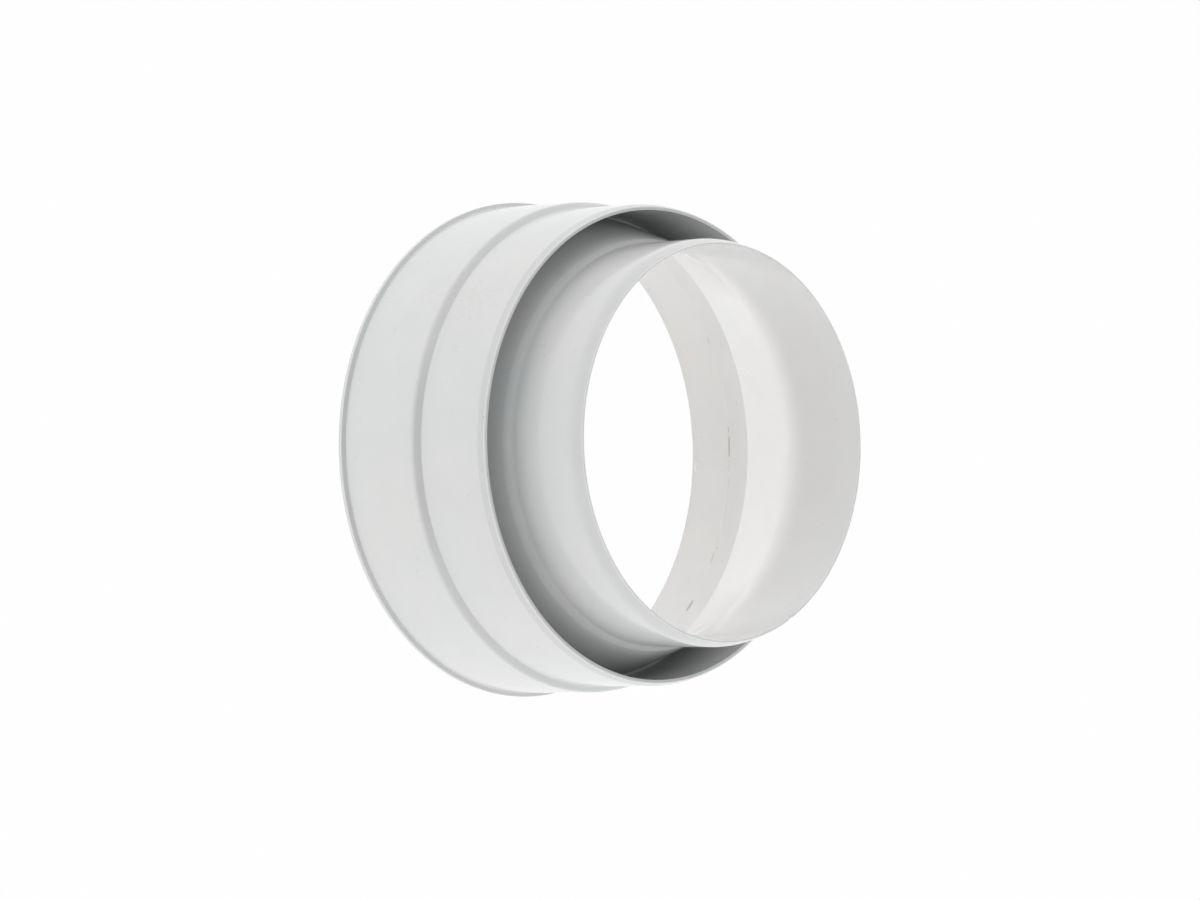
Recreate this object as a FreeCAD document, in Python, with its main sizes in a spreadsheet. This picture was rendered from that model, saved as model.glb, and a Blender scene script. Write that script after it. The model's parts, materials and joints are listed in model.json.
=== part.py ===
import FreeCAD, Part
import Sketcher
import os

# Reducing collar for round ducts, moulded in one piece of thin plastic.
# It stands on its rear rim, and heights are measured up from that rim along the axis.
# The sleeve has a socket behind, a shoulder outside and a smaller band in front.
# Inside the front band a funnel narrows from the stop of the socket to the spigot.
# Between the band and the funnel an open groove runs down to a narrow root.

DOCUMENT_NAME = "ReducingCollar"
SHEET_NAME = "Sizes"
NODE_NAME = "reducing_collar"
FULL_TURN = 360
BEVELLED = ("rim_bottom", "front_outer", "front_inner", "tip_outer", "tip_inner")
BEVEL_SHARE = 0.4
SAME_PLACE = 0.001

# Name, value in millimetres or degrees, and what it sets.
SIZES = (
    ("socket_radius", 76.3, "inside of the socket"),
    ("socket_depth", 29.3, "rear face to the stop inside the socket"),
    ("mouth_lead", 1.4, "bevel on the mouth of the socket, along each face"),
    ("stop_ledge", 2.7, "width of the stop that a pipe meets"),
    ("rear_wall", 1.45, "wall of the rear band at the shoulder's crown"),
    ("stop_wall", 3.1, "stop to the shoulder's crown, along the axis"),
    ("rim_height", 1.3, "upright face of the rear rim"),
    ("rim_slope", 0.8, "height of the slope from the rim to the rear band"),
    ("rim_reach", 1.15, "how far the rim stands out from the rear band"),
    ("shoulder_height", 1.2, "height of the slope between the two bands"),
    ("shoulder_step", 1.9, "how far the front band lies in from the shoulder's crown"),
    ("front_length", 27.5, "foot of the shoulder to the front edge of the sleeve"),
    ("front_wall", 1.9, "wall of the front band"),
    ("front_lead_length", 2.4, "length of the lead-in on the front band"),
    ("front_lead_depth", 0.75, "depth of the lead-in on the front band"),
    ("band_draft", 1, "taper of both bands, in degrees"),
    ("web_height", 2.7, "stop to the root of the groove, along the axis"),
    ("root_width", 0.4, "flat at the root of the groove"),
    ("spigot_reach", 29.2, "how far the spigot stands out past the sleeve"),
    ("spigot_length", 29, "bend of the funnel to the tip of the spigot"),
    ("spigot_radius", 63.2, "outside of the spigot"),
    ("spigot_wall", 2, "wall of the spigot"),
    ("bend_offset", 0.5, "how far the bend inside lies below the bend outside"),
    ("tip_lead_length", 4.2, "length of the lead-in on the spigot"),
    ("lip_wall", 0.55, "wall left at the tip of the spigot"),
    ("bend_fillet", 5, "rounds outside and inside the bend of the funnel"),
    ("crown_round", 0.7, "round on the shoulder's crown"),
    ("foot_fillet", 0.6, "hollow round at the shoulder's foot"),
    ("edge_bevel", 0.15, "bevels on the outer edge of the rim, the front edges and the lip"),
)


def fill_sheet(document):
    """Puts the sizes in a sheet, one row each: name, value, meaning."""
    sheet = document.addObject("Spreadsheet::Sheet", SHEET_NAME)
    for row, (name, value, meaning) in enumerate(SIZES, 1):
        sheet.set(f"A{row}", name)
        sheet.set(f"B{row}", str(value))
        sheet.set(f"C{row}", meaning)
        sheet.setAlias(f"B{row}", name)
    document.recompute()


def size(name):
    """The expression that reads one size from the sheet."""
    return f"{SHEET_NAME}.{name}"


def plus(*terms):
    """The expression that adds terms up."""
    return "(" + " + ".join(terms) + ")"


def minus(term, *others):
    """The expression that takes the other terms from the first."""
    return "(" + " - ".join((term, *others)) + ")"


def drafted(run):
    """The expression for how far a drafted band moves sideways over a run of height."""
    return f"({run} * tan({size('band_draft')} * 1 deg))"


def section_heights():
    """Where the corners of the section lie along the axis, as expressions."""
    stop = size("socket_depth")
    crown = plus(stop, size("stop_wall"))
    foot = plus(crown, size("shoulder_height"))
    front = plus(foot, size("front_length"))
    tip = plus(front, size("spigot_reach"))
    bend = minus(tip, size("spigot_length"))
    return {
        "mouth": size("mouth_lead"),
        "rim": size("rim_height"),
        "band": plus(size("rim_height"), size("rim_slope")),
        "stop": stop,
        "root": plus(stop, size("web_height")),
        "crown": crown,
        "foot": foot,
        "front_lead": minus(front, size("front_lead_length")),
        "front": front,
        "bend_inside": minus(bend, size("bend_offset")),
        "bend_outside": bend,
        "tip_lead": minus(tip, size("tip_lead_length")),
        "tip": tip,
    }


def sleeve_corners(height):
    """Corners of the sleeve from its stop out round the mouth to the root of the groove."""
    socket = size("socket_radius")
    crown = plus(socket, size("rear_wall"))
    band = plus(crown, drafted(minus(height["crown"], height["band"])))
    rim = plus(band, size("rim_reach"))
    foot = minus(crown, size("shoulder_step"))
    outer = minus(foot, drafted(minus(height["front_lead"], height["foot"])))
    edge = minus(outer, size("front_lead_depth"))
    inner = minus(outer, size("front_wall"))
    root = plus(inner, drafted(minus(height["front"], height["root"])))
    return {
        "stop_outer": (socket, height["stop"], None),
        "mouth_inner": (socket, height["mouth"], None),
        "mouth_outer": (plus(socket, size("mouth_lead")), "0", None),
        "rim_bottom": (rim, "0", None),
        "rim_top": (rim, height["rim"], None),
        "rim_foot": (band, height["band"], None),
        "crown": (crown, height["crown"], "crown_round"),
        "foot": (foot, height["foot"], "foot_fillet"),
        "front_lead": (outer, height["front_lead"], None),
        "front_outer": (edge, height["front"], None),
        "front_inner": (inner, height["front"], None),
        "root_outer": (root, height["root"], None),
        "root_inner": (minus(root, size("root_width")), height["root"], None),
    }


def funnel_corners(height):
    """Corners of the funnel and the spigot from the outside of the bend round to the stop."""
    outer = size("spigot_radius")
    bore = minus(outer, size("spigot_wall"))
    lip = plus(bore, size("lip_wall"))
    return {
        "bend_outside": (outer, height["bend_outside"], "bend_fillet"),
        "tip_lead": (outer, height["tip_lead"], None),
        "tip_outer": (lip, height["tip"], None),
        "tip_inner": (bore, height["tip"], None),
        "bend_inside": (bore, height["bend_inside"], "bend_fillet"),
        "stop_inner": (minus(size("socket_radius"), size("stop_ledge")), height["stop"], None),
    }


def origin_feature(body, role):
    """One of a body's own origin planes."""
    for feature in body.Origin.OriginFeatures:
        if feature.Role == role:
            return feature
    raise ValueError(f"{body.Label} has no {role}")


def value_of(document, expression):
    """The number that an expression gives now."""
    result = document.getObject(SHEET_NAME).evalExpression(expression)
    return float(getattr(result, "Value", result))


def places_of(document, corners):
    """Where the corners of the section lie now: across by radius, and up by height."""
    return [
        FreeCAD.Vector(value_of(document, radius), value_of(document, height), 0)
        for radius, height, _ in corners.values()
    ]


def bind(sketch, name, constraint, expression):
    """Adds a named constraint and ties it to an expression."""
    number = sketch.addConstraint(constraint)
    sketch.renameConstraint(number, name)
    sketch.setExpression(f"Constraints.{name}", expression)


def draw_outline(sketch, corners):
    """Draws straight lines from corner to corner, with each corner tied to its place."""
    places = places_of(sketch.Document, corners)
    for start, end in zip(places, places[1:] + places[:1]):
        sketch.addGeometry(Part.LineSegment(start, end), False)
    for line, (name, (radius, height, _)) in enumerate(corners.items()):
        following = (line + 1) % len(places)
        sketch.addConstraint(Sketcher.Constraint("Coincident", line, 2, following, 1))
        across = Sketcher.Constraint("DistanceX", -1, 1, line, 1, places[line].x)
        bind(sketch, f"{name}_radius", across, radius)
        if height == "0":
            sketch.addConstraint(Sketcher.Constraint("PointOnObject", line, 1, -1))
            continue
        up = Sketcher.Constraint("DistanceY", -1, 1, line, 1, places[line].y)
        bind(sketch, f"{name}_height", up, height)


def round_corners(sketch, corners):
    """Rounds the corners that have a round, and keeps the sharp corner as a point."""
    for line, (name, (_, _, rounding)) in enumerate(corners.items()):
        if rounding is None:
            continue
        radius = value_of(sketch.Document, size(rounding))
        arc = len(sketch.Geometry)
        sketch.fillet(line, 1, radius, True, True)
        bind(sketch, f"{name}_round", Sketcher.Constraint("Radius", arc, radius), size(rounding))


def edges_at(shape, places):
    """The names of a turned shape's edges at the given radii and heights."""
    names = []
    for number, edge in enumerate(shape.Edges, 1):
        if not isinstance(edge.Curve, Part.Circle):
            continue
        here = FreeCAD.Vector(edge.Curve.Radius, edge.Curve.Center.z, 0)
        if any(here.distanceToPoint(place) < SAME_PLACE for place in places):
            names.append(f"Edge{number}")
    if len(names) != len(places):
        raise RuntimeError(f"found {len(names)} of {len(places)} edges to bevel")
    return names


def bevel_edges(body, moulding, corners):
    """Bevels the edges at these corners, by less than half of the walls that end there."""
    lip_share = f"{BEVEL_SHARE} * {size('lip_wall')}"
    front_share = f"{BEVEL_SHARE} * {minus(size('front_wall'), size('front_lead_depth'))}"
    edges = edges_at(moulding.Shape, places_of(body.Document, corners))
    bevels = body.newObject("PartDesign::Chamfer", "Bevels")
    bevels.Base = (moulding, edges)
    bevels.setExpression("Size", f"min({size('edge_bevel')}; {lip_share}; {front_share})")


def build_collar(document):
    """The one moulded piece: its whole section, turned once round the axis."""
    body = document.addObject("PartDesign::Body", NODE_NAME)
    body.Label = NODE_NAME
    body.Placement = FreeCAD.Placement()

    height = section_heights()
    corners = {**sleeve_corners(height), **funnel_corners(height)}

    section = body.newObject("Sketcher::SketchObject", "Section")
    section.AttachmentSupport = [(origin_feature(body, "XZ_Plane"), "")]
    section.MapMode = "FlatFace"
    draw_outline(section, corners)
    round_corners(section, corners)

    moulding = body.newObject("PartDesign::Revolution", "Moulding")
    moulding.Profile = section
    moulding.ReferenceAxis = (section, ["V_Axis"])
    moulding.Angle = FULL_TURN
    document.recompute()

    bevel_edges(body, moulding, {name: corners[name] for name in BEVELLED})
    document.recompute()
    return body


def check(document, bodies):
    """Stops if anything failed to build or a body isn't one sound solid."""
    for item in document.Objects:
        if "Invalid" in item.State or "Error" in item.State:
            raise RuntimeError(f"{item.Label} failed: {item.State}")
    for body in bodies:
        shape = body.Shape
        if shape.isNull() or not shape.isValid() or len(shape.Solids) != 1:
            raise RuntimeError(f"{body.Label} isn't one sound solid")


def main():
    document = FreeCAD.newDocument(DOCUMENT_NAME)
    fill_sheet(document)
    bodies = [build_collar(document)]
    check(document, bodies)
    os.makedirs("parts", exist_ok=True)
    for body in bodies:
        body.Shape.exportStep(os.path.join("parts", f"{body.Label}.step"))
        print(f"{body.Label}: {body.Shape.Volume / 1000:.2f} cm3, {len(body.Shape.Faces)} faces")


main()
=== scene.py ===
import json
import math

import bpy
from bpy.props import FloatProperty, FloatVectorProperty, IntProperty, PointerProperty
from mathutils import Matrix, Vector, noise


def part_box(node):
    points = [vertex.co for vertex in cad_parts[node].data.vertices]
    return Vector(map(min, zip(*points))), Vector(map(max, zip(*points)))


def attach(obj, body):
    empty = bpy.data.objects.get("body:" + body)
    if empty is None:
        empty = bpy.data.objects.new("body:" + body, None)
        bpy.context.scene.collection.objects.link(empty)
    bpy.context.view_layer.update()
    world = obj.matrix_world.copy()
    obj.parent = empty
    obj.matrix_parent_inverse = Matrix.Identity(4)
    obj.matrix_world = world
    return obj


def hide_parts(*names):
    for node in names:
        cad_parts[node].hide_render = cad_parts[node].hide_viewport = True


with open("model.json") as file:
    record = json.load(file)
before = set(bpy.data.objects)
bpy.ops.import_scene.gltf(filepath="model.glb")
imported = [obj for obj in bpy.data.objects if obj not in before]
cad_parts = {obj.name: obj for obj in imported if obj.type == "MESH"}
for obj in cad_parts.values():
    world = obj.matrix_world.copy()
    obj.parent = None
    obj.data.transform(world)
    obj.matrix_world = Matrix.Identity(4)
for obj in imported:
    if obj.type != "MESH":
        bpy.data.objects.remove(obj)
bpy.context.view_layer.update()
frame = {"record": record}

bl_info = {
    "name": "Reducing Collar",
    "version": (1, 0, 0),
    "blender": (4, 5, 0),
    "location": "3D View > Sidebar > Collar",
    "description": "Models a moulded reducing collar for round ducts and sets it in a plain studio",
    "category": "Object",
}

NODE = "reducing_collar"
BODY = "root"

MM = 0.001
_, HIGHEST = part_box(NODE)
MOUNTS = {mount["name"]: mount for mount in frame["record"]["mounts"]}


def mount_radius(name):
    """Radius of a round mount in the record, in metres."""
    return MOUNTS[name]["dims"]["r_mm"] * MM


def length(name, description, default):
    """A length that the panel shows in the scene's units."""
    return FloatProperty(
        name=name, description=description, default=default, min=0, unit="LENGTH", precision=5
    )


def share(name, description, default):
    """A number from 0 to 1."""
    return FloatProperty(
        name=name, description=description, default=default, min=0, max=1, subtype="FACTOR"
    )


def angle(name, description, degrees):
    """An angle, kept in radians."""
    return FloatProperty(
        name=name, description=description, default=math.radians(degrees), subtype="ANGLE"
    )


def colour(name, description, default):
    """A colour in linear light."""
    return FloatVectorProperty(
        name=name, description=description, default=default, min=0, max=1, size=3, subtype="COLOR"
    )


def amount(name, description, default):
    """A plain number that isn't negative."""
    return FloatProperty(name=name, description=description, default=default, min=0)


def point(name, description, default):
    """A place in the scene."""
    return FloatVectorProperty(
        name=name, description=description, default=default,
        size=3, subtype="TRANSLATION", unit="LENGTH",
    )


class CollarSizes(bpy.types.PropertyGroup):
    """Sizes of the moulding. Heights run along the axis from the rear rim to the spigot's tip."""

    tip_height: length("Height", "Rear face to the tip of the spigot", HIGHEST.z)
    rim_radius: length("Rim radius", "Outside of the rear rim", HIGHEST.x)
    socket_radius: length("Socket radius", "Inside of the socket", mount_radius("pipe_socket"))
    spigot_radius: length("Spigot radius", "Outside of the spigot", mount_radius("spigot"))
    socket_depth: length("Socket depth", "Rear face to the stop in the socket", 29.3 * MM)
    mouth_lead: length("Mouth lead-in", "Bevel on the socket's mouth", 1.4 * MM)
    stop_ledge: length("Stop", "Width of the stop that a pipe meets", 2.7 * MM)
    rim_height: length("Rim height", "Upright face of the rear rim", 1.3 * MM)
    rim_slope: length("Rim slope", "Height of the slope from the rim to the rear band", 0.8 * MM)
    rim_reach: length("Rim reach", "How far the rim stands out from the rear band", 1.15 * MM)
    crown_height: length("Crown height", "Rear face to the shoulder's crown", 31.95 * MM)
    crown_radius: length("Crown radius", "Rear band at the shoulder's crown", 77.75 * MM)
    shoulder_height: length("Shoulder", "Height of the slope between the bands", 2.1 * MM)
    shoulder_step: length("Shoulder step", "Crown in to the foot of the front band", 1.9 * MM)
    front_height: length("Sleeve height", "Rear face to the sleeve's front edge", 61.1 * MM)
    front_wall: length("Front wall", "Wall of the front band", 1.9 * MM)
    front_lead_length: length("Front lead-in", "Length of the sleeve's lead-in", 2.4 * MM)
    front_lead_depth: length("Front lead-in depth", "Depth of the sleeve's lead-in", 0.75 * MM)
    draft: angle("Draft", "Taper of the front band", 1)
    web_height: length("Web", "Stop to the root of the groove", 2.7 * MM)
    root_width: length("Root", "Flat at the root of the groove", 0.7 * MM)
    spigot_wall: length("Spigot wall", "Wall of the spigot", 2 * MM)
    spigot_length: length("Spigot length", "Bend of the funnel to the tip", 29 * MM)
    bead_reach: length("Bead reach", "Bend down to the bead on the funnel", 2.8 * MM)
    bead_rise: length("Bead rise", "How far the bead stands out from the funnel", 0.4 * MM)
    bend_offset: length("Bend offset", "Outer bend down to the inner bend", 0.5 * MM)
    tip_lead_length: length("Tip lead-in", "Length of the spigot's lead-in", 4.2 * MM)
    lip_wall: length("Lip", "Wall left at the tip", 0.55 * MM)
    bend_round: length("Bend round", "Rounds outside at the funnel's bend and bead", 4 * MM)
    throat_round: length("Throat round", "Round inside the funnel's bend", 28 * MM)
    crown_round: length("Crown round", "Round on the shoulder's crown", 2.2 * MM)
    foot_round: length("Foot round", "Hollow round under the shoulder", 0.3 * MM)
    lead_round: length("Lead-in round", "Round where the sleeve's lead-in starts", 1.2 * MM)
    tip_lead_round: length("Tip lead-in round", "Round where the spigot's lead-in starts", 10 * MM)
    front_round: length("Front round", "Round outside on the sleeve's front edge", 0.5 * MM)
    lip_round: length("Lip round", "Round outside on the spigot's lip", 0.45 * MM)
    small_round: length("Small round", "Round on the other corners", 0.25 * MM)
    edge_round: length("Edge round", "Round on the thin edges", 0.08 * MM)
    flash_height: length("Flash line", "Rear face to the flash line in the socket", 18.3 * MM)
    flash_width: length("Flash width", "Width of the flash line to each side", 0.35 * MM)
    flash_rise: length("Flash rise", "How far the flash line stands out at most", 0.09 * MM)
    flash_sway: length("Flash sway", "How far the flash line wanders from its height", 0.25 * MM)
    pin_radius: length("Pin mark", "Radius of the ejector pin's mark in the socket", 1.65 * MM)
    pin_depth: length("Pin depth", "Depth of the pin's mark and of the trace above it", 0.12 * MM)
    pin_height: length("Pin height", "Rear face to the middle of the pin's mark", 4.1 * MM)
    pin_turn: angle("Pin turn", "Where the pin's mark is round the axis", 84.1)
    nick_width: length("Nick width", "Half the width of the nick in the lip", 1 * MM)
    nick_depth: length("Nick depth", "Depth of the nick in the lip", 0.9 * MM)
    nick_turn: angle("Nick turn", "Where the nick is round the axis", 25.4)
    columns: IntProperty(name="Columns", description="Steps round the axis", default=430, min=24)


class CollarLook(bpy.types.PropertyGroup):
    """Colour and finish of the plastic, and the painted light on it."""

    plastic: colour("Plastic", "Grey of the moulding", (0.738, 0.748, 0.75))
    blush: colour("Blush", "Warmer grey of some patches", (0.755, 0.74, 0.735))
    blush_share: share("Blush share", "How much of the warmer grey its patches have", 0.5)
    blush_size: length("Blush size", "Size of the warmer patches", 30 * MM)
    # Painted light: the inside and the socket's mouth are painted warmer and lighter, for the warm
    # light there.
    painted_warm: colour("Warm plastic", "Plastic of the socket at its mouth", (0.79, 0.772, 0.765))
    painted_warm_share: share("Warm share", "How much of the warm plastic there is", 0.6)
    # Painted light: thin edges, the flash line and the pin's edge are painted paler, as light
    # shining through.
    painted_pale: colour("Pale edge", "Thin edges, the flash line and the pin's edge", (0.95, 0.935, 0.92))
    painted_pale_share: share("Pale share", "How pale the flash line is at most", 0.5)
    dirt: colour("Dirt", "Dirt in the flash line", (0.4, 0.27, 0.16))
    dirt_size: length("Dirt size", "Size of the patches in the dirt", 0.6 * MM)
    cloud_size: length("Cloud size", "Size of the lighter and darker patches", 14 * MM)
    cloud_depth: share("Cloud depth", "How much the patches differ", 0.06)
    speck_spacing: length("Speck spacing", "Distance between specks", 7 * MM)
    speck_radius: length("Speck radius", "Radius of the specks", 0.35 * MM)
    speck_depth: share("Speck depth", "How much darker the specks are", 0.2)
    tick_spacing: length("Tick spacing", "Distance between the curved ticks", 8 * MM)
    tick_radius: length("Tick radius", "Radius of the curved ticks", 0.6 * MM)
    tick_width: length("Tick width", "Width of the curved ticks", 0.16 * MM)
    tick_depth: share("Tick depth", "How much darker the curved ticks are", 0.14)
    hair_spacing: length("Hair spacing", "Distance between the hair lines", 3 * MM)
    hair_width: length("Hair width", "Width of the hair lines", 0.09 * MM)
    hair_depth: share("Hair depth", "How much darker the hair lines are", 0.06)
    grain_size: length("Grain size", "Size of the grain", 0.7 * MM)
    grain_depth: length("Grain depth", "Depth of the grain", 0.003 * MM)
    roughness: share("Roughness", "How dull the plastic is", 0.12)
    roughness_change: share("Roughness change", "How much the dullness varies", 0.05)
    ior: amount("Index of refraction", "Index of refraction of the plastic", 1.54)
    wall_radius: length(
        "Wall radius", "Radius at which strokes are measured", mount_radius("pipe_socket")
    )


class StudioSettings(bpy.types.PropertyGroup):
    """Floor, lights and camera."""

    floor_size: length("Floor size", "Width of the floor", 40)
    floor_colour: colour("Floor", "Colour of the floor", (0.9, 0.9, 0.9))
    floor_share: share("Floor white", "How much of the seen floor is plain white", 0.98)
    tent_light: amount("Tent light", "Light from all round and above", 0.79)
    tent_lean: amount("Tent lean", "How much brighter the tent is on the camera's side", 0.3)
    tent_sides: amount("Tent sides", "How much brighter the tent is to the left and right", 0.4)
    tent_colour: colour("Tent colour", "Colour of the tent's light", (0.975, 0.995, 0.99))
    lamp_colour: colour("Lamp colour", "Colour of the lamps below the collar", (1, 0.985, 0.965))
    dark_way: FloatVectorProperty(
        name="Dark side", description="Towards the middle of the dark opening round the camera",
        default=(0, -0.643, 0.766), size=3, subtype="DIRECTION",
    )
    dark_edge: angle("Dark edge", "From the middle of the opening to where it begins", 40)
    dark_core: angle("Dark core", "From the middle of the opening to where it is wholly dark", 20)
    table_size: length("Light table", "Width of the light table under the collar", 2)
    table_light: amount("Table light", "Brightness of the light table", 0.63)
    back_size: length("Back light", "Width of the light behind the socket", 150 * MM)
    back_light: amount("Back brightness", "Brightness of the light behind the socket", 0.535)
    back_spread: angle("Back spread", "How wide the light behind the socket spreads", 90)
    lamp_gap: length("Lamp gap", "Gap between the collar, each lamp and the floor", 0.5 * MM)
    camera_place: point("Camera", "Place of the camera", (0, -1.0497, 1.1005))
    camera_aim: point("Aim", "Point in the middle of the picture", (0.001, 0, 0.03486))
    camera_roll: angle("Roll", "Turn of the camera about its own view", 87.93)
    camera_lens: amount("Lens", "Focal length in millimetres", 141.68)
    camera_sensor: amount("Sensor", "Width of the camera's sensor in millimetres", 36)


# Painted warm light: how warm the inside is painted, where its mouth is 1 and the outside 0.
PAINTED_WARMTH_SOCKET = 0.7
PAINTED_WARMTH_FUNNEL = 0.3
PAINTED_WARMTH_SPIGOT = 0.8

# Painted light: how pale the thin edges are painted, as light shines through them, where the
# plainest flash line is 1.
PAINTED_EDGE_LIGHT = 2


def section_corners(sizes):
    """Corners of the whole section: radius, height, round, painted warmth and painted light of
    each.
    """
    socket = sizes.socket_radius
    taper = math.tan(sizes.draft)
    band = sizes.rim_radius - sizes.rim_reach
    crown = sizes.crown_radius
    foot = crown - sizes.shoulder_step
    foot_height = sizes.crown_height + sizes.shoulder_height
    lead_height = sizes.front_height - sizes.front_lead_length
    front = foot - taper * (lead_height - foot_height)
    front_inner = front - sizes.front_wall
    root_height = sizes.socket_depth + sizes.web_height
    root = front_inner + taper * (sizes.front_height - root_height)
    bend_height = sizes.tip_height - sizes.spigot_length
    bore = sizes.spigot_radius - sizes.spigot_wall
    slope = (root - sizes.root_width - sizes.spigot_radius) / (bend_height - root_height)
    bead = sizes.spigot_radius + slope * sizes.bead_reach + sizes.bead_rise
    # Each corner's last two numbers paint light into the colour: warm light inside, pale light on
    # thin edges.
    return (
        (socket, sizes.socket_depth, sizes.small_round, PAINTED_WARMTH_SOCKET, 0),
        (socket, sizes.mouth_lead, sizes.small_round, PAINTED_WARMTH_SOCKET, 0),
        (socket + sizes.mouth_lead, 0, sizes.edge_round, 0, 0),
        (sizes.rim_radius, 0, sizes.edge_round, 0, 0),
        (sizes.rim_radius, sizes.rim_height, sizes.small_round, 0, 0),
        (band, sizes.rim_height + sizes.rim_slope, sizes.small_round, 0, 0),
        (crown, sizes.crown_height, sizes.crown_round, 0, 0),
        (foot, foot_height, sizes.foot_round, 0, 0),
        (front, lead_height, sizes.lead_round, 0, 0),
        (front - sizes.front_lead_depth, sizes.front_height, sizes.front_round, 0, PAINTED_EDGE_LIGHT),
        (front_inner, sizes.front_height, sizes.edge_round, 0, PAINTED_EDGE_LIGHT),
        (root, root_height, sizes.small_round, 0, 0),
        (root - sizes.root_width, root_height, sizes.small_round, 0, 0),
        (bead, bend_height - sizes.bead_reach, sizes.bend_round, 0, 0),
        (sizes.spigot_radius, bend_height, sizes.bend_round, 0, 0),
        (sizes.spigot_radius, sizes.tip_height - sizes.tip_lead_length, sizes.tip_lead_round, 0, 0),
        (bore + sizes.lip_wall, sizes.tip_height, sizes.lip_round, 0, PAINTED_EDGE_LIGHT),
        (bore, sizes.tip_height, sizes.edge_round, PAINTED_WARMTH_SPIGOT, PAINTED_EDGE_LIGHT),
        (bore, bend_height - sizes.bend_offset, sizes.throat_round, PAINTED_WARMTH_SPIGOT, 0),
        (socket - sizes.stop_ledge, sizes.socket_depth, sizes.edge_round, PAINTED_WARMTH_FUNNEL, 0),
    )


# How finely a round is divided, and the gap from its ends to the points beside it.
ARC_STEP = math.radians(22.5)
LONGEST_STEP = 1.5 * MM
FEWEST_STEPS = 3
SUPPORT = 0.05 * MM

# Rows along the walls: the longest, the height of those at the pin's mark, and how many there
# are in a flash width. The fine rows reach this many flash widths past where the line wanders.
LONGEST_ROW = 5 * MM
FINE_ROW = 0.25 * MM
FLASH_ROWS = 3
FLASH_MARGIN = 2

# Fine columns across the nick and across the pin's mark, and how many times as far as the mark
# they reach.
FINE_COLUMNS = 20
NICK_MARGIN = 2
PIN_MARGIN = 1.5

# Radii that differ by less are the same.
SAME_RADIUS = MM / 100


def rounded_corner(before, corner, after, radius):
    """Points of the arc that rounds a corner, with a point close before and after it."""
    back = (before - corner).normalized()
    ahead = (after - corner).normalized()
    half = back.angle(ahead) / 2
    reach = radius / math.tan(half)
    if reach + SUPPORT > min((before - corner).length, (after - corner).length):
        raise ValueError(f"the round doesn't fit at radius {corner.x:.4f}, height {corner.y:.4f}")
    centre = corner + (back + ahead).normalized() * (radius / math.sin(half))
    start = corner + back * reach - centre
    turn = start.angle_signed(corner + ahead * reach - centre)
    needed = max(abs(turn) / ARC_STEP, abs(turn) * radius / LONGEST_STEP)
    steps = max(FEWEST_STEPS, math.ceil(needed))
    arc = [centre + Matrix.Rotation(-turn * step / steps, 2) @ start for step in range(steps + 1)]
    return [corner + back * (reach + SUPPORT), *arc, corner + ahead * (reach + SUPPORT)]


def section_points(sizes):
    """The section as points (radius, height, painted warmth, painted light): only the rounds get
    the painted light.
    """
    corners = section_corners(sizes)
    points = []
    for number, (radius, height, rounding, painted_warmth, painted_pale) in enumerate(corners):
        before = Vector(corners[number - 1][:2])
        after = Vector(corners[(number + 1) % len(corners)][:2])
        first, *arc, last = rounded_corner(before, Vector((radius, height)), after, rounding)
        points.append(Vector((*first, painted_warmth, 0)))
        points += [Vector((*place, painted_warmth, painted_pale)) for place in arc]
        points.append(Vector((*last, painted_warmth, 0)))
    return points


def divided(start, end, longest):
    """Even steps from the start towards the end, which is left out, none over the longest."""
    steps = max(1, math.ceil(abs(end - start) / longest))
    return [start + (end - start) * step / steps for step in range(steps)]


def on_socket(sizes, *radii):
    """Whether all of these radii are the socket's."""
    return all(math.isclose(radius, sizes.socket_radius, abs_tol=SAME_RADIUS) for radius in radii)


def socket_heights(sizes, start, end):
    """Heights down the socket's wall, close together at the flash line and the pin's mark."""
    flash_reach = sizes.flash_sway + FLASH_MARGIN * sizes.flash_width
    flash_top = sizes.flash_height + flash_reach
    flash_bottom = sizes.flash_height - flash_reach
    pin_top = sizes.pin_height + 2 * FINE_ROW
    return (
        divided(start, flash_top, LONGEST_ROW)
        + divided(flash_top, flash_bottom, sizes.flash_width / FLASH_ROWS)
        + divided(flash_bottom, pin_top, LONGEST_ROW)
        + divided(pin_top, end, FINE_ROW)
    )


def section_rows(sizes):
    """The section's points with its long straight stretches divided."""
    points = section_points(sizes)
    rows = []
    for start, end in zip(points, points[1:] + points[:1]):
        run = (end - start).xy.length
        if run > LONGEST_ROW and on_socket(sizes, start.x, end.x):
            heights = socket_heights(sizes, start.y, end.y)
            rows += [(start.x, height, *start.zw) for height in heights]
        else:
            rows += [tuple(start.lerp(end, part)) for part in divided(0, 1, LONGEST_ROW / run)]
    return rows


def column_turns(sizes):
    """Turns round the axis, closer together at the nick in the lip and at the pin's mark."""
    nick_reach = NICK_MARGIN * sizes.nick_width / sizes.spigot_radius
    pin_reach = PIN_MARGIN * sizes.pin_radius / sizes.socket_radius
    nick_turns = sizes.nick_turn - nick_reach, sizes.nick_turn + nick_reach
    pin_turns = sizes.pin_turn - pin_reach, sizes.pin_turn + pin_reach
    step = math.tau / sizes.columns
    return (
        divided(*nick_turns, 2 * nick_reach / FINE_COLUMNS)
        + divided(nick_turns[1], pin_turns[0], step)
        + divided(*pin_turns, 2 * pin_reach / FINE_COLUMNS)
        + divided(pin_turns[1], nick_turns[0] + math.tau, step)
    )


# How fast the flash line wanders, slowly and quickly, and how fast it grows and fades, as the
# radii of circles round which noise is read, and how much the quick wandering counts.
SLOW_SWAY = 6
QUICK_SWAY = 23
QUICK_SHARE = 0.5
FADE_PACE = 9

# How plain the flash line usually is and is at least, where 1 is the most.
USUAL_FLASH = 0.6
FAINTEST_FLASH = 0.25

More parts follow.
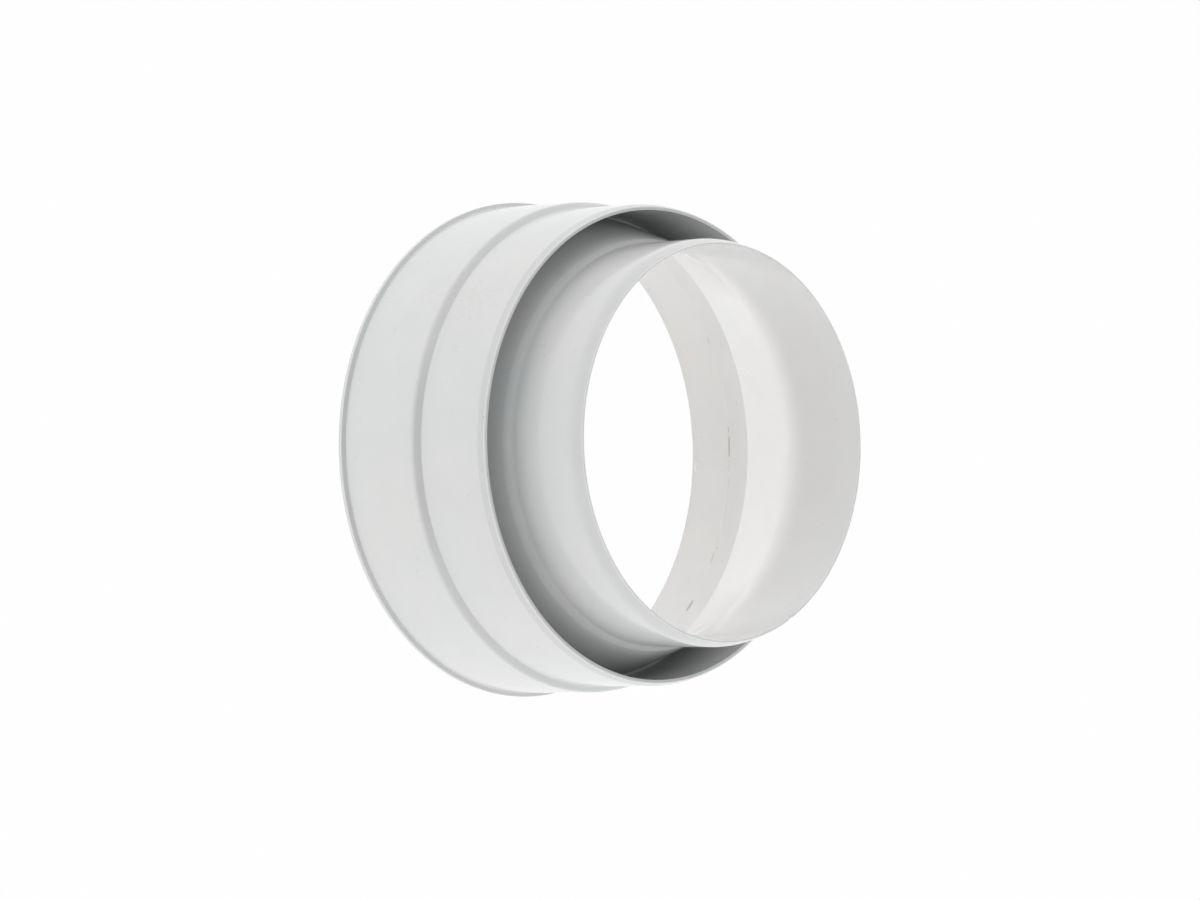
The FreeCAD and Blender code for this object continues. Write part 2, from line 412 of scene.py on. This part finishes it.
# The pin's mark, in radii: its flat middle, the height over which its trace fades, and how far
# down the painted highlight on its edge begins and is whole.
PIN_MIDDLE = 0.8
TRACE_FADE = 2
HIGHLIGHT_FROM = 0.2
HIGHLIGHT_FULL = 0.8

# How deep the pin's trace is at least, where the mark is 1, and half the width of the painted
# highlight on the mark's edge in flash widths.
FAINTEST_TRACE = 0.35
HIGHLIGHT_WIDTHS = 2

# How far below the tip the nick begins.
NICK_REACH = 2 * MM

# Stretches of the flash line that hold dirt: first and last turn in degrees, width in flash
# widths, and how dark they are. Each fades out over this many degrees at its ends.
DIRT_FADE = 0.5
DIRTY_STRETCHES = (
    (39.4, 40.6, 0.8, 0.35),
    (44.7, 47.1, 2.4, 0.75),
    (59.1, 61.7, 0.8, 0.6),
    (62.6, 65.4, 0.6, 0.35),
    (78.2, 81.1, 0.6, 0.3),
    (83.0, 85.6, 0.7, 0.35),
    (86.9, 91.1, 1, 1),
    (92.7, 93.7, 0.8, 0.7),
    (104.6, 110.7, 0.5, 0.35),
    (115.5, 116.6, 0.9, 0.8),
)


def smooth_step(value, low, high):
    """From 0 at the low value to 1 at the high one, without a corner."""
    place = min(1, max(0, (value - low) / (high - low)))
    return place * place * (3 - 2 * place)


def around(turn, radius):
    """A point on a circle, so that noise read there closes up after one turn."""
    return Vector((math.cos(turn), math.sin(turn), 0)) * radius


def flash_place(sizes, turn):
    """Height of the flash line at a turn: it wanders a little."""
    slow = noise.noise(around(turn, SLOW_SWAY))
    quick = noise.noise(around(turn, QUICK_SWAY))
    return sizes.flash_height + sizes.flash_sway * (slow + QUICK_SHARE * quick)


def flash_ridge(sizes, turn, height):
    """Up to 1 on the flash line and 0 beside it: the line is plain here and faint there."""
    strength = min(1, max(FAINTEST_FLASH, USUAL_FLASH + noise.noise(around(turn, FADE_PACE))))
    away = abs(height - flash_place(sizes, turn))
    return strength * (1 - smooth_step(away, 0, sizes.flash_width))


def pin_distance(sizes, turn, height):
    """Distance from the middle of the pin's mark, or from its trace above."""
    across = (turn - sizes.pin_turn) * sizes.socket_radius
    return math.hypot(across, min(0, height - sizes.pin_height))


def pin_dent(sizes, turn, height):
    """Depth of an ejector pin's mark near the mouth, and of its trace up to the flash line."""
    distance = pin_distance(sizes, turn, height)
    inside = 1 - smooth_step(distance, PIN_MIDDLE * sizes.pin_radius, sizes.pin_radius)
    up = max(0, height - sizes.pin_height)
    fade = max(FAINTEST_TRACE, 1 - up / (TRACE_FADE * sizes.pin_radius))
    flash = flash_place(sizes, turn)
    below = 1 - smooth_step(height, flash - sizes.flash_width, flash)
    return sizes.pin_depth * inside * fade * below


def pin_highlight(sizes, turn, height):
    """Up to 1 on the painted highlight along the edge of the pin's mark, on the side of the mouth.
    """
    away = abs(pin_distance(sizes, turn, height) - sizes.pin_radius)
    down = (sizes.pin_height - height) / sizes.pin_radius
    line = 1 - smooth_step(away, 0, HIGHLIGHT_WIDTHS * sizes.flash_width)
    return smooth_step(down, HIGHLIGHT_FROM, HIGHLIGHT_FULL) * line


def dirt(sizes, turn, height):
    """How much dirt the flash line holds at a place."""
    degrees = math.degrees(turn) % 360
    away = abs(height - flash_place(sizes, turn))
    found = 0
    for first, last, width, strength in DIRTY_STRETCHES:
        if first - DIRT_FADE < degrees < last + DIRT_FADE:
            along = smooth_step(degrees, first - DIRT_FADE, first)
            along *= 1 - smooth_step(degrees, last, last + DIRT_FADE)
            found += strength * along * (1 - smooth_step(away, 0, width * sizes.flash_width))
    return found


def nick(sizes, turn, height):
    """How far the lip is pushed in at a place."""
    across = abs(turn - sizes.nick_turn) * sizes.spigot_radius
    near_lip = smooth_step(height, sizes.tip_height - NICK_REACH, sizes.tip_height)
    return sizes.nick_depth * near_lip * (1 - smooth_step(across, 0, sizes.nick_width))


# Numbers that the mesh holds at each of its points, for the plastic to read: dirt, painted light
# and painted warm light.
MARKS = ("dirt", "painted_pale", "painted_warm")


def marked_point(sizes, turn, row):
    """A point of the section at a turn: its place, and its dirt, painted light and painted warmth.
    """
    radius, height, painted_warmth, painted_pale = row
    dirty = 0
    if on_socket(sizes, radius):
        flash = flash_ridge(sizes, turn, height)
        dirty = dirt(sizes, turn, height)
        # Painted light: a paler flash line, and a painted highlight on the pin's edge.
        painted_pale = flash + PAINTED_EDGE_LIGHT * pin_highlight(sizes, turn, height)
        # Painted warm light on the socket below the flash line.
        if height < flash_place(sizes, turn):
            painted_warmth = 1
        radius += pin_dent(sizes, turn, height) - sizes.flash_rise * flash
    height -= nick(sizes, turn, height)
    return (radius * math.cos(turn), radius * math.sin(turn), height), (dirty, painted_pale, painted_warmth)


def ring_faces(columns, rows):
    """Four-sided faces of a grid of points that closes up both ways."""
    faces = []
    for column in range(columns):
        here = column * rows
        there = (column + 1) % columns * rows
        for row in range(rows):
            following = (row + 1) % rows
            faces.append((here + row, there + row, there + following, here + following))
    return faces


def turned_mesh(name, sizes):
    """A mesh of the section turned once round the axis, with its small marks."""
    rows = section_rows(sizes)
    turns = column_turns(sizes)
    places, marks = zip(*(marked_point(sizes, turn, row) for turn in turns for row in rows))
    mesh = bpy.data.meshes.new(name)
    mesh.from_pydata(places, [], ring_faces(len(turns), len(rows)))
    for mark, values in zip(MARKS, zip(*marks)):
        mesh.attributes.new(mark, "FLOAT", "POINT").data.foreach_set("value", values)
    mesh.shade_smooth()
    mesh.update()
    return mesh


class Value:
    """An output of a shader node. Arithmetic on it adds Math nodes to its tree."""

    def __init__(self, tree, socket):
        self.tree = tree
        self.socket = socket

    def maths(self, operation, *operands):
        """Works on this value first, and then on the operands."""
        return self.tree.maths(operation, self, *operands)

    def __add__(self, other):
        return self.maths("ADD", other)

    __radd__ = __add__

    def __sub__(self, other):
        return self.maths("SUBTRACT", other)

    def __rsub__(self, other):
        return self.tree.maths("SUBTRACT", other, self)

    def __mul__(self, other):
        return self.maths("MULTIPLY", other)

    __rmul__ = __mul__


class Tree:
    """The node tree of a material or a world, filled by one method."""

    def __init__(self, owner):
        owner.use_nodes = True
        self.nodes = owner.node_tree.nodes
        self.links = owner.node_tree.links
        self.nodes.clear()

    def node(self, kind, settings=None, inputs=None, output=0):
        """Adds a node with its settings, then its socket values and links. Gives one output."""
        node = self.nodes.new(kind)
        for name, value in (settings or {}).items():
            setattr(node, name, value)
        for name, value in (inputs or {}).items():
            if isinstance(value, Value):
                self.links.new(value.socket, node.inputs[name])
            else:
                node.inputs[name].default_value = value
        return Value(self, node.outputs[output]) if node.outputs else None

    def maths(self, operation, *operands):
        """Adds a Math node."""
        return self.node("ShaderNodeMath", {"operation": operation}, dict(enumerate(operands)))


# Sockets of a Mix node that blends colours. Others of its sockets have the same names.
MIX_FACTOR = 0
MIX_FIRST = 6
MIX_SECOND = 7
MIX_COLOUR = 2

# Soft noise varies about this level.
MIDDLE = 0.5

# Levels of soft noise at which a patch begins and is whole, and the size of the hairs' patches
# in spacings.
BLUSH_PATCH = (0.45, 0.65)
TICK_PATCH = (0.5, 0.6)
HAIR_PATCH = (0.62, 0.7)
HAIR_PATCH_SIZE = 12

# How much of a dot and of a stroke is wholly dark, before its edge fades.
DOT_CORE = 0.5
STROKE_CORE = 0.6

# Depth of a hair line in the relief, in grains.
HAIR_RELIEF = 2


def rise(value, low, high):
    """From 0 at the low value to 1 at the high one, without a corner."""
    inputs = {"Value": value, "From Min": low, "From Max": high}
    return value.tree.node("ShaderNodeMapRange", {"interpolation_type": "SMOOTHSTEP"}, inputs)


def clouds(place, size, detail=2):
    """Soft noise, with patches of this size."""
    inputs = {"Vector": place, "Scale": 1 / size, "Detail": detail}
    return place.tree.node("ShaderNodeTexNoise", inputs=inputs)


def uneven(place, size, detail=2):
    """Soft noise about 0."""
    return clouds(place, size, detail) - MIDDLE


def blend(tree, factor, first, second, way="MIX"):
    """Two colours, blended in Blender's way of this name."""
    settings = {"data_type": "RGBA", "blend_type": way}
    inputs = {MIX_FACTOR: factor, MIX_FIRST: first, MIX_SECOND: second}
    return tree.node("ShaderNodeMix", settings, inputs, MIX_COLOUR)


def scattered(place, spacing):
    """Distance from the nearest of many scattered points, in spacings."""
    inputs = {"Vector": place, "Scale": 1 / spacing}
    return place.tree.node("ShaderNodeTexVoronoi", inputs=inputs, output="Distance")


def dots(place, spacing, radius):
    """1 on scattered round dots and 0 between them."""
    return 1 - rise(scattered(place, spacing), DOT_CORE * radius / spacing, radius / spacing)


def ticks(place, spacing, radius, width):
    """1 on scattered short curved ticks and 0 between them."""
    distance = scattered(place, spacing) - radius / spacing
    ring = 1 - rise(distance.maths("ABSOLUTE"), 0, width / spacing)
    return ring * rise(clouds(place, 2 * radius), *TICK_PATCH)


def hairs(place, spacing, width):
    """1 on thin curled lines, found only in a few patches."""
    line = 1 - rise(uneven(place, spacing).maths("ABSOLUTE"), 0, width / spacing)
    return line * rise(clouds(place, HAIR_PATCH_SIZE * spacing), *HAIR_PATCH)


def unrolled(place, radius):
    """Distance round the axis at this radius, height and distance from the axis, as one vector."""
    tree = place.tree
    x, y, z = (
        tree.node("ShaderNodeSeparateXYZ", inputs={"Vector": place}, output=axis) for axis in "XYZ"
    )
    turn = y.maths("ARCTAN2", x) * radius
    out = (x * x + y * y).maths("SQRT")
    return tree.node("ShaderNodeCombineXYZ", inputs={"X": turn, "Y": z, "Z": out})


def cup(turn, height, out):
    """The strokes of a small cup, written as in STROKES: its two sides and its bottom."""
    return (
        (turn - 0.6, height, out, 0.3, 1.3, 8, -0.1),
        (turn + 0.6, height, out, 0.3, 1.3, -8, -0.1),
        (turn, height - 0.6, out, 1.2, 0.3, 0, -0.1),
    )


# Small strokes: turn in degrees, height, distance from the axis, length and width in
# millimetres, slant in degrees, and how much lighter or darker than the plastic.
STROKES = (
    (155.5, 62.8, 61.2, 9.6, 0.35, 0, 0.12),
    (150.7, 63.4, 61.2, 1.4, 0.4, 70, -0.1),
    (163.5, 63.0, 61.2, 2.6, 2.2, 0, -0.06),
    (120.9, 50.0, 65.45, 2.2, 0.35, 55, -0.09),
    (53.6, 11.6, 76.3, 2.6, 0.35, -50, -0.09),
    (47.4, 61.5, 61.2, 1.6, 0.4, 40, -0.09),
    (-97.9, 60.4, 74.9, 0.5, 0.5, 0, -0.35),
    (-98.5, 8.2, 78.2, 0.6, 0.5, 0, -0.2),
    (-104.9, 5.9, 78.2, 0.5, 0.4, 30, -0.2),
    *cup(-114.8, 36.5, 75.8),
    *cup(-114.6, 44.3, 75.7),
    (-77.9, 2.6, 78.3, 1.6, 0.8, 0, -0.1),
    (-148.8, 63.6, 63.2, 0.9, 0.35, 40, -0.2),
    (-117.2, 83.0, 63.2, 0.9, 0.35, 60, -0.2),
    (-95.2, 71.7, 63.2, 0.6, 0.4, 0, -0.25),
    (-139.6, 12.9, 78.2, 1.2, 0.3, 20, -0.15),
    (39.3, 62.9, 61.2, 0.5, 0.5, 0, -0.3),
    (11.8, 72.2, 61.2, 0.6, 0.6, 0, -0.3),
    (35.5, 85.8, 61.2, 0.8, 0.6, 0, -0.2),
)


def stroke(flat, radius, mark):
    """How much one short straight mark lightens or darkens the plastic."""
    turn, height, out, long, wide, slant, change = mark
    inputs = {
        "Vector": flat,
        "Location": (math.radians(turn) * radius, height * MM, out * MM),
        "Rotation": (0, 0, math.radians(slant)),
        "Scale": (long * MM / 2, wide * MM / 2, MM),
    }
    near = flat.tree.node("ShaderNodeMapping", {"vector_type": "TEXTURE"}, inputs)
    settings = {"operation": "LENGTH"}
    distance = flat.tree.node("ShaderNodeVectorMath", settings, {0: near}, output="Value")
    return change * (1 - rise(distance, STROKE_CORE, 1))


def plastic_tone(place, look, fine_hairs):
    """How light the plastic is: clouds, specks, ticks, hair lines and strokes."""
    tone = 1 + look.cloud_depth * uneven(place, look.cloud_size, detail=4)
    tone = tone - look.speck_depth * dots(place, look.speck_spacing, look.speck_radius)
    curved = ticks(place, look.tick_spacing, look.tick_radius, look.tick_width)
    tone = tone - look.tick_depth * curved
    tone = tone - look.hair_depth * fine_hairs
    flat = unrolled(place, look.wall_radius)
    for mark in STROKES:
        tone = tone + stroke(flat, look.wall_radius, mark)
    return tone


def plastic_hue(place, look):
    """The plastic's colour: warmer patches, dirt, painted warm light inside, painted light at
    edges.
    """
    tree = place.tree
    dirty, painted_pale, painted_warm = (
        tree.node("ShaderNodeAttribute", {"attribute_name": name}, output="Fac") for name in MARKS
    )
    blush = look.blush_share * rise(clouds(place, look.blush_size), *BLUSH_PATCH)
    hue = blend(tree, blush, (*look.plastic, 1), (*look.blush, 1))
    # Painted warm light inside, then painted light on the thin edges, the flash line and the pin's
    # edge.
    hue = blend(tree, painted_warm * look.painted_warm_share, hue, (*look.painted_warm, 1))
    hue = blend(tree, painted_pale * look.painted_pale_share, hue, (*look.painted_pale, 1))
    patchy = dirty * (MIDDLE + clouds(place, look.dirt_size))
    return blend(tree, patchy.maths("MINIMUM", 1), hue, (*look.dirt, 1))


def moulded_plastic(look):
    """Satin light grey plastic, faintly clouded, with specks, hair lines, small marks and painted
    light.
    """
    material = bpy.data.materials.new("moulded_plastic")
    tree = Tree(material)
    place = tree.node("ShaderNodeTexCoord", output="Object")
    fine_hairs = hairs(place, look.hair_spacing, look.hair_width)

    tone = plastic_tone(place, look, fine_hairs)
    grey = tree.node("ShaderNodeCombineColor", inputs={"Red": tone, "Green": tone, "Blue": tone})
    toned = blend(tree, 1, plastic_hue(place, look), grey, "MULTIPLY")

    height = clouds(place, look.grain_size, detail=3) - HAIR_RELIEF * fine_hairs
    relief = tree.node(
        "ShaderNodeBump", inputs={"Strength": 1, "Distance": look.grain_depth, "Height": height}
    )
    change = look.roughness_change * uneven(place, look.cloud_size / 2, detail=4)
    shader = tree.node(
        "ShaderNodeBsdfPrincipled",
        inputs={
            "Base Color": toned,
            "Roughness": look.roughness + change,
            "IOR": look.ior,
            "Normal": relief,
        },
    )
    tree.node("ShaderNodeOutputMaterial", inputs={"Surface": shader})
    return material


class COLLAR_OT_moulding(bpy.types.Operator):
    """Turns the section of the collar into one finely rounded moulding"""

    bl_idname = "collar.moulding"
    bl_label = "Moulding"

    def execute(self, context):
        scene = context.scene
        mesh = turned_mesh("collar_moulding", scene.collar_sizes)
        mesh.materials.append(moulded_plastic(scene.collar_look))
        piece = bpy.data.objects.new("collar_moulding", mesh)
        scene.collection.objects.link(piece)
        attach(piece, BODY)
        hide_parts(NODE)
        return {"FINISHED"}


def pale_floor(studio):
    """White floor that the camera sees evenly lit, with a faint shadow of the object."""
    material = bpy.data.materials.new("pale_floor")
    tree = Tree(material)
    camera, glossy, transmission = (
        tree.node("ShaderNodeLightPath", output=f"Is {kind} Ray")
        for kind in ("Camera", "Glossy", "Transmission")
    )
    white_share = (camera + glossy + transmission) * studio.floor_share
    matt = tree.node("ShaderNodeBsdfDiffuse", inputs={"Color": (*studio.floor_colour, 1)})
    white = tree.node("ShaderNodeEmission", inputs={"Color": (1, 1, 1, 1), "Strength": 1})
    mixed = tree.node("ShaderNodeMixShader", inputs={0: white_share, 1: matt, 2: white})
    tree.node("ShaderNodeOutputMaterial", inputs={"Surface": mixed})
    # The white is only seen, so the floor isn't sampled as a lamp.
    material.cycles.emission_sampling = "NONE"
    return material


def tent_world(studio):
    """Soft light from all round, stronger from the camera and the sides, dark over the camera."""
    world = bpy.data.worlds.new("studio_world")
    tree = Tree(world)
    way = tree.node("ShaderNodeTexCoord", output="Generated")
    settings = {"operation": "DOT_PRODUCT"}
    facing = tree.node("ShaderNodeVectorMath", settings, {0: way, 1: studio.dark_way}, "Value")
    opening = rise(facing, math.cos(studio.dark_edge), math.cos(studio.dark_core))
    side, far = (
        tree.node("ShaderNodeSeparateXYZ", inputs={"Vector": way}, output=axis) for axis in "XY"
    )
    shade = 1 - studio.tent_lean * far + studio.tent_sides * side * side
    light = tree.node(
        "ShaderNodeBackground",
        inputs={
            "Color": (*studio.tent_colour, 1),
            "Strength": studio.tent_light * shade * (1 - opening),
        },
    )
    tree.node("ShaderNodeOutputWorld", inputs={"Surface": light})
    return world


def low_lamp(name, studio, size, brightness, spread):
    """A round lamp that shines up from under the collar and isn't seen itself."""
    light = bpy.data.lights.new(name, "AREA")
    light.shape = "DISK"
    light.size = size
    light.color = studio.lamp_colour
    # A disk's power is its brightness times pi times its area.
    light.energy = brightness * math.pi * math.pi * (size / 2) ** 2
    light.spread = spread
    lamp = bpy.data.objects.new(name, light)
    lamp.rotation_euler.x = math.pi
    lamp.visible_camera = False
    lamp.visible_glossy = False
    return lamp


def aimed_camera(studio):
    """The camera at its place, aimed at the middle of the picture and rolled."""
    camera = bpy.data.objects.new("camera", bpy.data.cameras.new("camera"))
    place = Vector(studio.camera_place)
    view = Vector(studio.camera_aim) - place
    facing = view.to_track_quat("-Z", "Y").to_matrix()
    roll = Matrix.Rotation(studio.camera_roll, 3, "Z")
    camera.matrix_world = Matrix.Translation(place) @ (facing @ roll).to_4x4()
    camera.data.sensor_width = studio.camera_sensor
    camera.data.lens = studio.camera_lens
    return camera


class COLLAR_OT_studio(bpy.types.Operator):
    """Sets up the floor, the lights and the camera"""

    bl_idname = "collar.studio"
    bl_label = "Studio"

    def execute(self, context):
        scene = context.scene
        studio = scene.collar_studio
        bpy.ops.mesh.primitive_plane_add(size=studio.floor_size)
        floor = context.object
        floor.name = "floor"
        floor.data.materials.append(pale_floor(studio))

        scene.world = tent_world(studio)
        scene.view_settings.view_transform = "Standard"
        lamps = (
            low_lamp("back_light", studio, studio.back_size, studio.back_light, studio.back_spread),
            low_lamp("light_table", studio, studio.table_size, studio.table_light, math.pi),
        )
        for number, item in enumerate((*lamps, floor), 1):
            item.location.z = -number * studio.lamp_gap
        for lamp in lamps:
            scene.collection.objects.link(lamp)

        camera = aimed_camera(studio)
        scene.collection.objects.link(camera)
        scene.camera = camera
        return {"FINISHED"}


class COLLAR_PT_panel(bpy.types.Panel):
    """Lists the steps that make the collar and its studio, each above its settings"""

    bl_idname = "COLLAR_PT_panel"
    bl_label = "Reducing collar"
    bl_space_type = "VIEW_3D"
    bl_region_type = "UI"
    bl_category = "Collar"

    def draw(self, context):
        scene = context.scene
        steps = (
            (COLLAR_OT_moulding, (scene.collar_sizes, scene.collar_look)),
            (COLLAR_OT_studio, (scene.collar_studio,)),
        )
        for operator, groups in steps:
            self.layout.operator(operator.bl_idname)
            for group in groups:
                box = self.layout.box()
                for setting in group.__annotations__:
                    box.prop(group, setting)


CLASSES = (
    CollarSizes,
    CollarLook,
    StudioSettings,
    COLLAR_OT_moulding,
    COLLAR_OT_studio,
    COLLAR_PT_panel,
)


def register():
    for item in CLASSES:
        bpy.utils.register_class(item)
    bpy.types.Scene.collar_sizes = PointerProperty(type=CollarSizes)
    bpy.types.Scene.collar_look = PointerProperty(type=CollarLook)
    bpy.types.Scene.collar_studio = PointerProperty(type=StudioSettings)


def unregister():
    del bpy.types.Scene.collar_studio
    del bpy.types.Scene.collar_look
    del bpy.types.Scene.collar_sizes
    for item in reversed(CLASSES):
        bpy.utils.unregister_class(item)


def main():
    register()
    bpy.ops.collar.moulding()
    bpy.ops.collar.studio()


if __name__ == "__main__":
    main()
